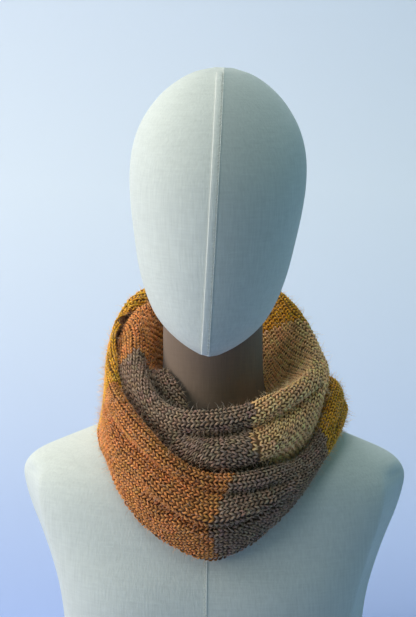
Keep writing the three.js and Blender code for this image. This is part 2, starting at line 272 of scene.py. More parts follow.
HEAD = table(
    "height half_width front back",
    [
        [314, 4, 61, -40],
        [317, 13, 66, -18],
        [323, 25.5, 71.5, 8],
        [332, 38, 76, 30],
        [344, 49, 80, 48],
        [362, 58.5, 84, 66],
        [385, 66, 88, 80],
        [412, 71.5, 90, 90],
        [440, 76.2, 90, 96],
        [466, 78.3, 86, 98],
        [490, 76.5, 77, 95],
        [512, 69.5, 65, 86],
        [533, 56, 49, 71],
        [547, 41, 34, 53],
        [556.5, 24.5, 19, 32],
        [561, 8, 6, 10],
    ],
)


# Reading the tables


def follow(rows, along, column, at, period=0.0):
    """The column's value on a smooth curve through its rows, which close on themselves with a period."""
    x, y = rows[along], rows[column]
    at = np.asarray(at, float)
    if period:
        at = np.mod(at, period)
        x = np.concatenate((x - period, x, x + period))
        y = np.tile(y, 3)
    slope = np.gradient(y)
    slope[1:-1] = (y[2:] - y[:-2]) / (x[2:] - x[:-2])
    slope[0] = (y[1] - y[0]) / (x[1] - x[0])
    slope[-1] = (y[-1] - y[-2]) / (x[-1] - x[-2])
    i = np.clip(np.searchsorted(x, at, side="right") - 1, 0, len(x) - 2)
    span = x[i + 1] - x[i]
    t = (at - x[i]) / span
    rise = slope[i] * span * t * (1 - t) ** 2 + slope[i + 1] * span * t * t * (t - 1)
    return y[i] * (1 + 2 * t) * (1 - t) ** 2 + y[i + 1] * t * t * (3 - 2 * t) + rise


def bump(x):
    """1 at 0, fading softly to nothing at 1 and beyond."""
    return np.where(np.abs(x) < 1, np.cos(np.pi / 2 * np.clip(x, -1, 1)) ** 2, 0.0)


def apart(a, b):
    """Degrees from one turn to another, the short way along the wound ring."""
    return np.mod(a - b + TURNS / 2, TURNS) - TURNS / 2


def unit(v):
    return v / np.maximum(np.linalg.norm(v, axis=-1, keepdims=True), 1e-12)


# The wound cloth


def smooth_line(knots, steps):
    """A smooth line through each row of knots, with so many steps between two knots."""
    padded = np.concatenate((knots[:, :1], knots, knots[:, -1:]), axis=1)
    spans = knots.shape[1] - 1
    pieces = []
    for n in range(spans):
        a, b, c, d = (padded[:, n + k, None, :] for k in range(4))
        t = (np.arange(steps) / steps)[None, :, None]
        v, w = (c - a) / 2, (d - b) / 2
        pieces.append((2 * b - 2 * c + v + w) * t**3 + (3 * c - 3 * b - 2 * v - w) * t**2 + v * t + b)
    return np.concatenate((*pieces, knots[:, -1:]), axis=1)


def even_steps(lines, steps):
    """The same lines with points an even length apart."""
    result = np.empty((len(lines), steps + 1, 2))
    for n, line in enumerate(lines):
        lengths = np.concatenate(([0], np.cumsum(np.linalg.norm(np.diff(line, axis=0), axis=1))))
        want = np.linspace(0, lengths[-1], steps + 1)
        result[n, :, 0] = np.interp(want, lengths, line[:, 0])
        result[n, :, 1] = np.interp(want, lengths, line[:, 1])
    return result


def face_normals(lines):
    """The directions out of the showing face along each line."""
    along = np.empty_like(lines)
    along[:, 1:-1] = lines[:, 2:] - lines[:, :-2]
    along[:, 0] = lines[:, 1] - lines[:, 0]
    along[:, -1] = lines[:, -1] - lines[:, -2]
    along = unit(along)
    return np.stack((along[..., 1], -along[..., 0]), axis=-1)


def cloth_lines(turns, outer_steps, inner_steps):
    """The cloth's middle line in radius and height at each turn, folds pressed in, and its points' places."""
    at = {name: follow(SECTIONS, "turn", name, turns, TURNS) for name in SECTIONS}
    radius, top, roll = at["crest_radius"], at["crest_height"], at["roll_radius"]
    folded = np.clip(at["folded"], 0, 1)
    outer_shoulder = np.stack((radius + roll * (0.3 + 0.7 * folded), top - roll), axis=-1)
    reach, drop = roll * (0.15 + 0.85 * folded), roll * (2 * folded - 1)
    inner_shoulder = np.stack((radius - reach, top - drop), axis=-1)
    inner_edge = np.stack((at["inner_radius"], top - at["inner_fall"]), axis=-1)
    knots = [
        np.stack((at["hem_radius"], top - at["outer_fall"]), axis=-1),
        np.stack((at["belly_radius"], top - at["belly_fall"]), axis=-1),
        outer_shoulder,
        np.stack((radius, top), axis=-1),
        inner_shoulder,
        (inner_shoulder + inner_edge) / 2,
        inner_edge,
    ]
    fine = smooth_line(np.stack(knots, axis=1), 40)
    outer = even_steps(fine[:, :121], outer_steps)
    inner = even_steps(fine[:, 120:], inner_steps)
    lines = np.concatenate((outer, inner[:, 1:]), axis=1)
    places = np.concatenate((np.linspace(-1, 0, outer_steps + 1), np.linspace(0, 1, inner_steps + 1)[1:]))
    out = face_normals(lines)
    pressed = lines.copy()
    folds = (*zip(*FOLDS.values()), *zip(*FINE_FOLDS.values()))
    for turn, reach, place, drift, half_width, depth, hang in folds:
        away = apart(turns, turn)
        beside = places[None] - place - drift * away[:, None]
        share = bump(away / reach)[:, None] * bump(beside / half_width)
        pressed += out * (depth * share)[..., None]
        pressed[..., 1] -= hang * share
    return pressed, places


def tube_outlines(turns, half, outer_steps, inner_steps, edge_steps):
    """The flat tube's closed outline at each turn, and each point's place across the showing face."""
    lines, places = cloth_lines(turns, outer_steps, inner_steps)
    out = face_normals(lines)
    along = np.stack((-out[..., 1], out[..., 0]), axis=-1)
    angles = (np.pi * (np.arange(edge_steps) + 1) / (edge_steps + 1))[None, :, None]
    inner = lines[:, -1:] + half * (np.cos(angles) * out[:, -1:] + np.sin(angles) * along[:, -1:])
    outer = lines[:, :1] - half * (np.cos(angles) * out[:, :1] + np.sin(angles) * along[:, :1])
    outline = np.concatenate((lines + half * out, inner, (lines - half * out)[:, ::-1], outer), axis=1)
    ends = np.ones(edge_steps)
    return outline, np.concatenate((places, ends, places[::-1], -ends))


def wound(outline, turns):
    """Points in radius and height, carried to their turn round the neck, in metres."""
    angle = np.radians(turns).reshape(-1, *([1] * (outline.ndim - 2)))
    radius, height = outline[..., 0], outline[..., 1]
    return np.stack((radius * np.sin(angle), -radius * np.cos(angle), height), axis=-1) * MM


# Colours


def linear(colour):
    """A colour from 0 to 255 as a painter reads it, as the light that it returns."""
    share = np.asarray(colour, float) / 255
    return np.where(share <= 0.04045, share / 12.92, ((share + 0.055) / 1.055) ** 2.4)


def yarn_colours(turns, places):
    """The yarn's colour at turns and places across the face."""
    turns, places = np.broadcast_arrays(turns, places)
    starts = [np.interp(places, (-1, -0.5, 0, 1), block[1:]) for block in BLOCKS]
    colours = np.empty((*turns.shape, 3))
    colours[:] = linear(YARNS[BLOCKS[-1][0]])
    for block, start in zip(BLOCKS, starts):
        colours[np.mod(turns + 75, TURNS) - 75 >= start] = linear(YARNS[block[0]])
    return colours


# Meshes


def mesh_piece(name, vertices, faces, material, smooth=True):
    mesh = bpy.data.meshes.new(name)
    mesh.from_pydata(np.asarray(vertices).tolist(), [], [list(map(int, face)) for face in faces])
    mesh.materials.append(material)
    mesh.polygons.foreach_set("use_smooth", [smooth] * len(mesh.polygons))
    mesh.update()
    piece = bpy.data.objects.new(name, mesh)
    bpy.context.scene.collection.objects.link(piece)
    return piece


def ring_faces(rings, sides, closed):
    """The faces between rings of so many points, the last ring joined to the first if closed."""
    j, i = np.meshgrid(np.arange(rings if closed else rings - 1), np.arange(sides), indexing="ij")
    ahead, beside = (j + 1) % rings, (i + 1) % sides
    corners = (j * sides + i, j * sides + beside, ahead * sides + beside, ahead * sides + i)
    return np.stack(corners, axis=-1).reshape(-1, 4)


def set_values(piece, name, kind, values):
    """A named value at each point of a piece."""
    field = "value" if kind in ("FLOAT", "INT") else "color" if kind == "FLOAT_COLOR" else "vector"
    attribute = piece.data.attributes.new(name, kind, "POINT")
    attribute.data.foreach_set(field, np.ascontiguousarray(values, dtype=np.float32).ravel())


def with_alpha(colours):
    return np.concatenate((colours, np.ones((*colours.shape[:-1], 1))), axis=-1)


# Node trees


class Wire:
    """A value in a node tree that takes part in plain arithmetic."""

    def __init__(self, nodes, socket):
        self.nodes = nodes
        self.socket = socket

    def maths(self, operation, first, second):
        return self.nodes.add("ShaderNodeMath", {"operation": operation}, {0: first, 1: second})

    def __add__(self, other):
        return self.maths("ADD", self, other)

    def __radd__(self, other):
        return self.maths("ADD", other, self)

    def __sub__(self, other):
        return self.maths("SUBTRACT", self, other)

    def __rsub__(self, other):
        return self.maths("SUBTRACT", other, self)

    def __mul__(self, other):
        return self.maths("MULTIPLY", self, other)

    def __rmul__(self, other):
        return self.maths("MULTIPLY", other, self)

    def __truediv__(self, other):
        return self.maths("DIVIDE", self, other)

    def __pow__(self, other):
        return self.maths("POWER", self, other)


class Nodes:
    """A node tree that is filled one node a call."""

    def __init__(self, tree):
        self.tree = tree

    def make(self, kind, settings=None, sockets=None):
        node = self.tree.nodes.new(kind)
        for name, value in (settings or {}).items():
            if name == "stops":
                self.set_stops(node.color_ramp, value)
            else:
                setattr(node, name, value)
        for key, value in (sockets or {}).items():
            if isinstance(value, Wire):
                self.tree.links.new(value.socket, node.inputs[key])
            else:
                node.inputs[key].default_value = value
        return node

    def add(self, kind, settings=None, sockets=None, out=0):
        return Wire(self, self.make(kind, settings, sockets).outputs[out])

    def set_stops(self, ramp, stops):
        while len(ramp.elements) < len(stops):
            ramp.elements.new(0.5)
        for element, (position, level) in zip(ramp.elements, stops):
            element.position = position
            element.color = (level, level, level, 1)

    def blend(self, factor, first, second, mode="MIX"):
        """A colour between two colours."""
        settings = {"data_type": "RGBA", "blend_type": mode}
        return self.add("ShaderNodeMix", settings, {"Factor": factor, 6: first, 7: second}, out=2)


def new_finish(name, rough, sheen=0.0):
    """A material with its main shader's constants set."""
    material = bpy.data.materials.new(name)
    material.use_nodes = True
    nodes = Nodes(material.node_tree)
    shader = material.node_tree.nodes["Principled BSDF"]
    shader.inputs["Roughness"].default_value = rough
    shader.inputs["Sheen Weight"].default_value = sheen
    shader.inputs["Sheen Roughness"].default_value = 0.6
    shader.inputs["Specular IOR Level"].default_value = 0.25
    return material, nodes, shader


def link(nodes, wire, shader, socket):
    nodes.tree.links.new(wire.socket, shader.inputs[socket])


def yarn_finish(name, shade, fleck, ply, painted_dip_shade=None):
    """Brushed wool: the yarn's own colour, flecked along the ply, and where asked, painted shade where it
    dips into the knit and a painted highlight on its tops.
    """
    material, nodes, shader = new_finish(name, 0.9, 0.12)
    shader.inputs["Sheen Tint"].default_value = (0.95, 0.88, 0.78, 1)
    shader.inputs["Specular IOR Level"].default_value = 0.12
    colour = nodes.add("ShaderNodeAttribute", {"attribute_name": "yarn"}, out="Color")
    place = nodes.add("ShaderNodeTexCoord", out="Object")
    specks = nodes.add("ShaderNodeTexNoise", None, {"Vector": place, "Scale": 900.0, "Detail": 3.0}, out=0)
    patches = nodes.add("ShaderNodeTexNoise", None, {"Vector": place, "Scale": 55.0, "Detail": 2.0}, out=0)
    level = shade * (1.0 + fleck * (specks - 0.5) * 2.0 + 0.5 * fleck * (patches - 0.5) * 2.0)
    tone = nodes.add("ShaderNodeCombineColor", None, {0: level, 1: level, 2: level})
    # Painted shade and highlight: low in each leg the colour is multiplied darker and warmer, as if shaded
    # where it dips under its neighbours, and on top it is lightened as a painted highlight.
    if painted_dip_shade:
        lift = nodes.add("ShaderNodeAttribute", {"attribute_name": "lift"}, out="Fac")
        tone = nodes.blend(1.0, tone, nodes.blend(lift, (*painted_dip_shade, 1), (1.3, 1.3, 1.32, 1)), "MULTIPLY")
    link(nodes, nodes.blend(1.0, colour, tone, "MULTIPLY"), shader, "Base Color")
    if ply:
        fine = {"Vector": place, "Scale": 1400.0, "Detail": 2.0}
        strands = nodes.add("ShaderNodeTexNoise", None, fine, out=0)
        relief = nodes.add("ShaderNodeBump", None, {"Strength": ply, "Distance": 0.0006, "Height": strands})
        link(nodes, relief, shader, "Normal")
    return material


def cloth_finish():
    """The knit behind the raised stitches: the same columns of stitches, with painted shade that darkens and
    warms the yarn's colour, most in the gaps.
    """
    material, nodes, shader = new_finish("knit_ground_painted_shade", 0.95, 0.2)
    colour = nodes.add("ShaderNodeAttribute", {"attribute_name": "yarn"}, out="Color")
    face = nodes.add("ShaderNodeUVMap", {"uv_map": "knit"})
    parts = nodes.make("ShaderNodeSeparateXYZ", None, {0: face})
    across, along = Wire(nodes, parts.outputs[0]), Wire(nodes, parts.outputs[1])
    saw = nodes.add("ShaderNodeMath", {"operation": "PINGPONG"}, {0: across, 1: 0.5})
    row = nodes.add("ShaderNodeMath", {"operation": "SINE"}, {0: (along + saw * 1.2) * (2 * math.pi)})
    yarn = 0.5 + 0.5 * row
    column = nodes.add("ShaderNodeMath", {"operation": "SINE"}, {0: saw * (2 * math.pi)})
    height = yarn * 0.6 + column * 0.4
    # Painted shade: the ground keeps only a tenth to a third of the yarn's colour, warmer, darkest in the
    # gaps between the stitches.
    level = 0.1 + 0.24 * height
    painted_gap_shade = nodes.add("ShaderNodeCombineColor", None, {0: level, 1: level * 0.8, 2: level * 0.62})
    link(nodes, nodes.blend(1.0, colour, painted_gap_shade, "MULTIPLY"), shader, "Base Color")
    relief = nodes.add("ShaderNodeBump", None, {"Strength": 0.8, "Distance": 0.0008, "Height": height})
    link(nodes, relief, shader, "Normal")
    return material


def linen_finish(name, tint):
    """Tightly stretched linen: a fine plain weave with slubs both ways."""
    material, nodes, shader = new_finish(name, 0.88, 0.15)
    place = nodes.add("ShaderNodeTexCoord", out="Object")

    def threads(stretch):
        turned = nodes.add("ShaderNodeMapping", None, {"Vector": place, "Scale": stretch})
        return nodes.add("ShaderNodeTexNoise", None, {"Vector": turned, "Scale": 1.0, "Detail": 3.0}, out=0)

    warp = threads((620.0, 620.0, 45.0))
    weft = threads((60.0, 60.0, 620.0))
    stains = nodes.add("ShaderNodeTexNoise", None, {"Vector": place, "Scale": 9.0, "Detail": 3.0}, out=0)
    weave = warp * 0.6 + weft * 0.4
    level = 1.0 + 0.42 * (weave - 0.5) + 0.12 * (stains - 0.5)
    grey = nodes.add("ShaderNodeCombineColor", None, {0: level, 1: level, 2: level})
    base = (*linear(tint), 1)
    link(nodes, nodes.blend(1.0, base, grey, "MULTIPLY"), shader, "Base Color")
    relief = nodes.add("ShaderNodeBump", None, {"Strength": 0.6, "Distance": 0.0007, "Height": weave})
    link(nodes, relief, shader, "Normal")
    return material


KNIT_GROUND = cloth_finish()
# The stitches' yarn, with painted shade low in each leg and a painted highlight on top.
YARN = yarn_finish("brushed_yarn", 1.0, 0.3, 0.5, painted_dip_shade=(0.3, 0.22, 0.15))
# The loose fibres are painted lighter than the yarn, a painted sheen of the brushed halo.
FIBRE = yarn_finish("loose_fibre", 1.3, 0.1, 0.0)
LINEN = linen_finish("stretched_linen", (205, 208, 198))
# The neck's linen is painted darker and browner than the head's: painted shade for the shadow under the head
# and inside the scarf, with warm light bounced off the yarn.
SHADED_LINEN = linen_finish("neck_linen_painted_shade", (124, 104, 88))
THREAD = linen_finish("sewing_thread", (214, 216, 206))


# The scarf


def knit_coordinates(outline, turns):
    """Columns and rows of stitches at each point, counted along the outline and round the ring."""
    lengths = np.linalg.norm(np.diff(outline, axis=1, append=outline[:, :1]), axis=-1)
    across = (np.cumsum(lengths, axis=1) - lengths) / WALE_WIDTH
    along = np.broadcast_to((turns / TURNS * ROWS)[:, None], across.shape)
    return np.stack((across, along), axis=-1)


def closed_tube(half, ring_count, steps, inward):
    turns = np.arange(ring_count) * TURNS / ring_count
    outline, places = tube_outlines(turns, half, *steps)
    points = wound(outline, turns)
    faces = ring_faces(ring_count, outline.shape[1], True)
    if inward:
        faces = faces[:, ::-1]
    colours = yarn_colours(turns[:, None], places[None])
    knit = knit_coordinates(outline, turns)
    return points.reshape(-1, 3), faces, colours.reshape(-1, 3), knit.reshape(-1, 2)


def make_cloth():
    """The flat tube of knit as one closed wall with a hollow in it."""
    skin = closed_tube(FACE_HALF, CLOTH_RINGS, (38, 18, 3), False)
    hollow = closed_tube(HOLLOW_HALF, HOLLOW_RINGS, (24, 12, 1), True)
    points = np.concatenate((skin[0], hollow[0]))
    faces = np.concatenate((skin[1], hollow[1] + len(skin[0])))
    piece = mesh_piece("scarf_cloth", points, faces[:, ::-1], KNIT_GROUND)
    set_values(piece, "yarn", "FLOAT_COLOR", with_alpha(np.concatenate((skin[2], hollow[2]))))
    corners = np.concatenate((skin[3], hollow[3]))
    layer = piece.data.uv_layers.new(name="knit")
    order = np.empty(len(piece.data.loops), dtype=np.int32)
    piece.data.loops.foreach_get("vertex_index", order)
    layer.data.foreach_set("uv", corners[order].astype(np.float32).ravel())
    return piece


def row_turns(start, stop, height, radius_of):
    """The turn of each row of stitches: rows lie closer together in degrees where the ring is wider."""
    fine = np.linspace(start, stop, round((stop - start) * 4) + 1)
    radius = np.mean([follow(SECTIONS, "turn", name, fine, TURNS) for name in radius_of], axis=0)
    rise = np.gradient(follow(SECTIONS, "turn", "crest_height", fine, TURNS), fine)
    speed = np.hypot(np.radians(1) * radius, rise)
    length = np.concatenate(([0], np.cumsum((speed[1:] + speed[:-1]) / 2 * np.diff(fine))))
    count = round(length[-1] / height)
    return np.interp(np.arange(count) * length[-1] / count, length, fine), length[-1]


OUTER_ROWS, RING_LENGTH = row_turns(0, TURNS, ROW_HEIGHT, ("belly_radius", "crest_radius"))
ROWS = len(OUTER_ROWS)


def face_paths(turns):
    """The showing face at each turn: its points, their lengths from the crest and their places."""
    outer_steps, inner_steps, edge_steps = 90, 45, 6
    lines, places = cloth_lines(turns, outer_steps, inner_steps)
    out = face_normals(lines)
    along = np.stack((-out[..., 1], out[..., 0]), axis=-1)
    angles = (np.linspace(0, 150, edge_steps + 1)[1:] * np.pi / 180)[None, :, None]
    inner = lines[:, -1:] + FACE_HALF * (np.cos(angles) * out[:, -1:] + np.sin(angles) * along[:, -1:])
    outer = lines[:, :1] + FACE_HALF * (np.cos(angles) * out[:, :1] - np.sin(angles) * along[:, :1])
    path = np.concatenate((outer[:, ::-1], lines + FACE_HALF * out, inner), axis=1)
    ends = np.ones(edge_steps)
    steps = np.linalg.norm(np.diff(path, axis=1), axis=-1)
    length = np.concatenate((np.zeros((len(turns), 1)), np.cumsum(steps, axis=1)), axis=1)
    length -= length[:, edge_steps + outer_steps][:, None]
    return wound(path, turns) / MM, length, np.concatenate((-ends, places, ends))


def stitch_places(rows, slips, kept):
    """Every raised stitch's point, frame, width, height, turn and place across the showing face."""
    turns = np.concatenate(([2 * rows[0] - rows[1]], rows, [2 * rows[-1] - rows[-2]]))
    points, length, path_places = face_paths(turns)
    width = np.clip((length[:, -1] - length[:, 0]) / MEAN_FACE, 0.82, 1.2)
    slip = follow(slips, "turn", "slip", turns, TURNS if slips is SLIP else 0.0)
    want = (np.arange(-60, 61)[None] * WALE_WIDTH - slip[:, None]) * width[:, None]

    def sample(at):
        found = [[np.interp(at[n], length[n], points[n, :, k]) for k in range(3)] for n in range(len(turns))]
        return np.array(found).transpose(0, 2, 1)

    centre = sample(want)
    across = (sample(want + 1.2) - sample(want - 1.2))[1:-1]
    onward = (centre[2:] - centre[:-2]) / 2
    place = np.array([np.interp(want[n], length[n], path_places) for n in range(len(turns))])[1:-1]
    inside = ((want > length[:, :1]) & (want < length[:, -1:]))[1:-1]
    turned = np.broadcast_to(rows[:, None], place.shape)
    inside &= kept(turned, place)
    height = np.linalg.norm(onward, axis=-1)
    face_out = unit(np.cross(onward, across))
    knitwise = unit(-onward)
    frames = np.stack((np.cross(knitwise, face_out), knitwise, face_out), axis=-1)
    slant = np.linalg.norm(np.cross(unit(across), knitwise), axis=-1)
    widths = width[1:-1, None] * WALE_WIDTH * slant
    return [values[inside] for values in (centre[1:-1], frames, widths, height, turned, place)]


def in_fan(turns, places):
    return (turns > FAN_FROM) & (turns < FAN_TO) & (places < FAN_BELOW)


def all_stitches():
    """The stitches outside the crest, those inside it in rows of their own, and those of the fan."""
    inner_rows = row_turns(0, TURNS, ROW_HEIGHT, ("crest_radius", "inner_radius"))[0]
    fan_rows = row_turns(FAN_FROM, FAN_TO, FAN_ROW_HEIGHT, ("belly_radius",))[0]

    def outside_crest(turns, places):
        return (places <= CREST_END) & ~in_fan(turns, places)

    outside = stitch_places(OUTER_ROWS, SLIP, outside_crest)
    inside = stitch_places(inner_rows, SLIP, lambda turns, places: places > CREST_END)
    fan = stitch_places(fan_rows, FAN_SLIP, in_fan)
    return [np.concatenate(zones) for zones in zip(outside, inside, fan)]


def euler_angles(axes):
    """Turns about X, Y and Z that carry the axes' frame."""
    y = np.arcsin(np.clip(-axes[:, 2, 0], -1, 1))
    x = np.arctan2(axes[:, 2, 1], axes[:, 2, 2])
    z = np.arctan2(axes[:, 1, 0], axes[:, 0, 0])
    return np.stack((x, y, z), axis=-1)


def swept(points, radii, sides, flat=1.0):
    """A closed strand through points, flattened towards its own plane, with pointed ends."""
    points = np.asarray(points, float)
    ahead = unit(np.gradient(points, axis=0))
    side = unit(np.cross(ahead, (0, 0, 1)))
    up = np.cross(side, ahead)
    angles = 2 * np.pi * np.arange(sides) / sides
    rings = [
        p + r * (np.cos(angles)[:, None] * s + flat * np.sin(angles)[:, None] * u)
        for p, r, s, u in zip(points[1:-1], radii, side[1:-1], up[1:-1])
    ]
    vertices = np.concatenate((*rings, points[:1], points[-1:]))
    count = len(rings)
    faces = [list(face) for face in ring_faces(count, sides, False)]
    first, last = count * sides, count * sides + 1
    for i in range(sides):
        beside = (i + 1) % sides
        faces.append([first, beside, i])
        faces.append([last, (count - 1) * sides + i, (count - 1) * sides + beside])
    return vertices, [face[::-1] for face in faces]


def joined(parts):
    """Several meshes' points and faces as one."""
    vertices, faces, offset = [], [], 0
    for points, sides in parts:
        vertices.append(points)
        faces += [[i + offset for i in face] for face in sides]
        offset += len(points)
    return np.concatenate(vertices), faces


def stitch_template():
    """One stitch of unit width and height: two legs that lean apart from its foot."""
    leg = [(0.03, -0.7, -0.4), (0.11, -0.42, 0.0), (0.26, 0.02, 0.24), (0.4, 0.44, 0.06), (0.46, 0.68, -0.3)]
    points, faces = swept(leg, (0.15, 0.185, 0.15), 6, 0.9)
    mirrored = (points * (-1, 1, 1), [face[::-1] for face in faces])
    stitch = template("stitch", joined(((points, faces), mirrored)), YARN)
    heights = np.concatenate((points, points))[:, 2]
    # Each point's height in the leg, which the yarn's finish turns into painted shade low down and a painted
    # highlight on top.
    set_values(stitch, "lift", "FLOAT", np.clip((heights + 0.16) / 0.56, 0, 1))
    return stitch


def template(name, shape, material):
    """A mesh that is only repeated, kept out of the scene."""
    piece = mesh_piece(name, *shape, material)
    bpy.context.scene.collection.objects.unlink(piece)
    return piece


def repeat_tree(name, material, templates):
    """A tree that stands a template on every point, turned and sized by the point's own values."""
    tree = bpy.data.node_groups.new(name, "GeometryNodeTree")
    face = tree.interface
    face.new_socket("Points", in_out="INPUT", socket_type="NodeSocketGeometry")
    face.new_socket("Size", in_out="INPUT", socket_type="NodeSocketFloat")
    face.new_socket("Result", in_out="OUTPUT", socket_type="NodeSocketGeometry")
    nodes = Nodes(tree)
    given = nodes.make("NodeGroupInput")
    points, size = Wire(nodes, given.outputs[0]), Wire(nodes, given.outputs[1])
    turned = nodes.add("GeometryNodeInputNamedAttribute", {"data_type": "FLOAT_VECTOR"}, {"Name": "turned"})
    scale = nodes.add("GeometryNodeInputNamedAttribute", {"data_type": "FLOAT_VECTOR"}, {"Name": "size"})
    choice = nodes.add("GeometryNodeInputNamedAttribute", {"data_type": "INT"}, {"Name": "choice"})
    together = nodes.make("GeometryNodeJoinGeometry")
    for one in templates:
        shape = nodes.make("GeometryNodeObjectInfo", None, {"Object": one, "As Instance": True})
        tree.links.new(shape.outputs["Geometry"], together.inputs[0])
    sized = nodes.add("ShaderNodeVectorMath", {"operation": "SCALE"}, {0: scale, "Scale": size})
    placed = nodes.add(
        "GeometryNodeInstanceOnPoints",
        None,
        {
            "Points": points,
            "Instance": Wire(nodes, together.outputs[0]),
            "Pick Instance": len(templates) > 1,
            "Instance Index": choice,
            "Rotation": turned,
            "Scale": sized,
        },
    )
    whole = nodes.add("GeometryNodeRealizeInstances", None, {0: placed})
    finished = nodes.add("GeometryNodeSetMaterial", None, {"Geometry": whole, "Material": material})
    nodes.make("NodeGroupOutput", None, {0: finished})
    return tree


def repeated(name, tree, size, points, turned, sizes, colours, material, choice=None):
    """A plain mesh of a tree's templates on given points."""
    holder = mesh_piece(name + "_points", points, [], material)
    set_values(holder, "turned", "FLOAT_VECTOR", turned)
    set_values(holder, "size", "FLOAT_VECTOR", sizes)
    attribute = holder.data.attributes.new("choice", "INT", "POINT")
    attribute.data.foreach_set("value", np.zeros(len(points), np.int32) if choice is None else choice)
    set_values(holder, "yarn", "FLOAT_COLOR", with_alpha(colours))
    modifier = holder.modifiers.new("repeat", "NODES")
    modifier.node_group = tree
    socket = next(item for item in tree.interface.items_tree if item.name == "Size")
    modifier[socket.identifier] = size
    graph = bpy.context.evaluated_depsgraph_get()
    mesh = bpy.data.meshes.new_from_object(holder.evaluated_get(graph))
    for value in ("turned", "size", "choice"):
        if value in mesh.attributes:
            mesh.attributes.remove(mesh.attributes[value])
    holder.modifiers.remove(modifier)
    bpy.data.objects.remove(holder)
    mesh.name = name
    mesh.polygons.foreach_set("use_smooth", [True] * len(mesh.polygons))
    piece = bpy.data.objects.new(name, mesh)
    bpy.context.scene.collection.objects.link(piece)
    return piece


def make_stitches():
    """The raised stitches of the showing face, in sets round the ring."""
    rng = np.random.default_rng(4)
    centre, axes, widths, heights, turns, places = all_stitches()
    count = len(centre)
    colours = yarn_colours(turns, places)
    level = 1 + 0.14 * rng.standard_normal(count).clip(-2, 2)
    warmth = 1 + 0.05 * rng.standard_normal((count, 3)).clip(-2, 2)
    colours = (colours * level[:, None] * warmth).clip(0, 1)
    turned = euler_angles(axes) + rng.normal(0, 0.05, (count, 3))
    spread = 1 + rng.normal(0, 0.05, (count, 3)).clip(-0.12, 0.12)
    sizes = np.stack((widths, heights, np.full(count, 4.4)), axis=-1) * spread * MM
    points = (centre + rng.normal(0, 0.12, (count, 3))) * MM
    tree = repeat_tree("knit_stitches", YARN, [stitch_template()])
    pieces = []
    for n in range(STITCH_SETS):
        mine = (turns >= n * TURNS / STITCH_SETS) & (turns < (n + 1) * TURNS / STITCH_SETS)
        name = f"scarf_stitches_{n + 1}"
        pieces.append(repeated(name, tree, 1.0, points[mine], turned[mine], sizes[mine], colours[mine], YARN))
    return pieces, (points, axes, colours, turns)


def fibre_templates():
    """A few curled fibres of unit length."""
    rng = np.random.default_rng(11)
    shapes = []
    for n in range(FIBRE_KINDS):
        t = np.linspace(0, 1, 5)
        curl = rng.uniform(-0.7, 0.7, 2)
        sway = rng.uniform(-0.12, 0.12, 2)
        line = np.stack(
            (
                curl[0] * t**2 * 0.6 + sway[0] * np.sin(6 * t),
                curl[1] * t**2 * 0.4 + sway[1] * np.sin(5 * t),
                t - 0.15,
            ),
            axis=-1,
        )
        along_x = line[:, [2, 0, 1]]
        shapes.append(template(f"fibre_{n}", swept(along_x, (0.011, 0.01, 0.007), 3), FIBRE))
    return shapes


def make_fibres(stitches):
    """The halo of loose fibres that brushing raises."""
    rng = np.random.default_rng(23)
    points, axes, colours, turns = stitches
    picked = rng.integers(0, len(points), FIBRES)
    standing = rng.random(FIBRES) < STANDING_FIBRES
    lean = np.where(standing, rng.uniform(0.7, 1.45, FIBRES), rng.uniform(0.05, 0.45, FIBRES))
    heading = rng.uniform(0, 2 * np.pi, FIBRES)
    x, y, z = axes[picked, :, 0], axes[picked, :, 1], axes[picked, :, 2]
    flat = np.cos(heading)[:, None] * x + np.sin(heading)[:, None] * y
    ahead = unit(np.cos(lean)[:, None] * flat + np.sin(lean)[:, None] * z)
    side = unit(np.cross(z, ahead))
    frames = np.stack((ahead, side, np.cross(ahead, side)), axis=-1)
    length = np.where(standing, rng.uniform(4, 12, FIBRES), rng.uniform(4, 9, FIBRES))
    thick = rng.uniform(8, 14, FIBRES)
    sizes = np.stack((length, thick, thick), axis=-1) * MM
    start = points[picked] + z * 0.8 * MM
    # Painted sheen: each fibre's colour is drawn three tenths of the way to a pale cream.
    pale = 0.3 * linear((232, 220, 200)) + 0.7 * colours[picked]
    choice = rng.integers(0, FIBRE_KINDS, FIBRES).astype(np.int32)
    tree = repeat_tree("loose_fibres", FIBRE, fibre_templates())
    pieces = []
    for n in range(2):
        mine = np.flatnonzero((turns[picked] // (TURNS / 2)) == n)
        values = (start[mine], euler_angles(frames[mine]), sizes[mine], pale[mine], FIBRE, choice[mine])
        pieces.append(repeated(f"scarf_fibres_{n + 1}", tree, 1.0, *values))
    return pieces


# The form


def level_ring(height, half_width, front, back, exponent):
    angle = 2 * np.pi * np.arange(SIDES) / SIDES
    cos, sin = np.cos(angle), np.sin(angle)
    x = half_width * np.sign(cos) * np.abs(cos) ** (2 / exponent)
    y = (back - front) / 2 + (back + front) / 2 * np.sign(sin) * np.abs(sin) ** (2 / exponent)
    return np.stack((x, y, np.full(SIDES, height)), axis=-1)


def with_facets(ring):
    """The ring with each flank's front part drawn flat up to the crease in front of it."""
    share = np.clip((FACET_TOP - ring[0, 2]) / FACET_FADE, 0, 1)
    steps = round(SIDES * FACET_SHARE)
    flat = ring.copy()
    for flank, way in ((0, -1), (SIDES // 2, 1)):
        for n in range(1, steps):
            i = (flank + way * n) % SIDES
            chord = ring[flank] + (ring[(flank + way * steps) % SIDES] - ring[flank]) * n / steps
            flat[i] = ring[i] + (chord - ring[i]) * share
    return flat


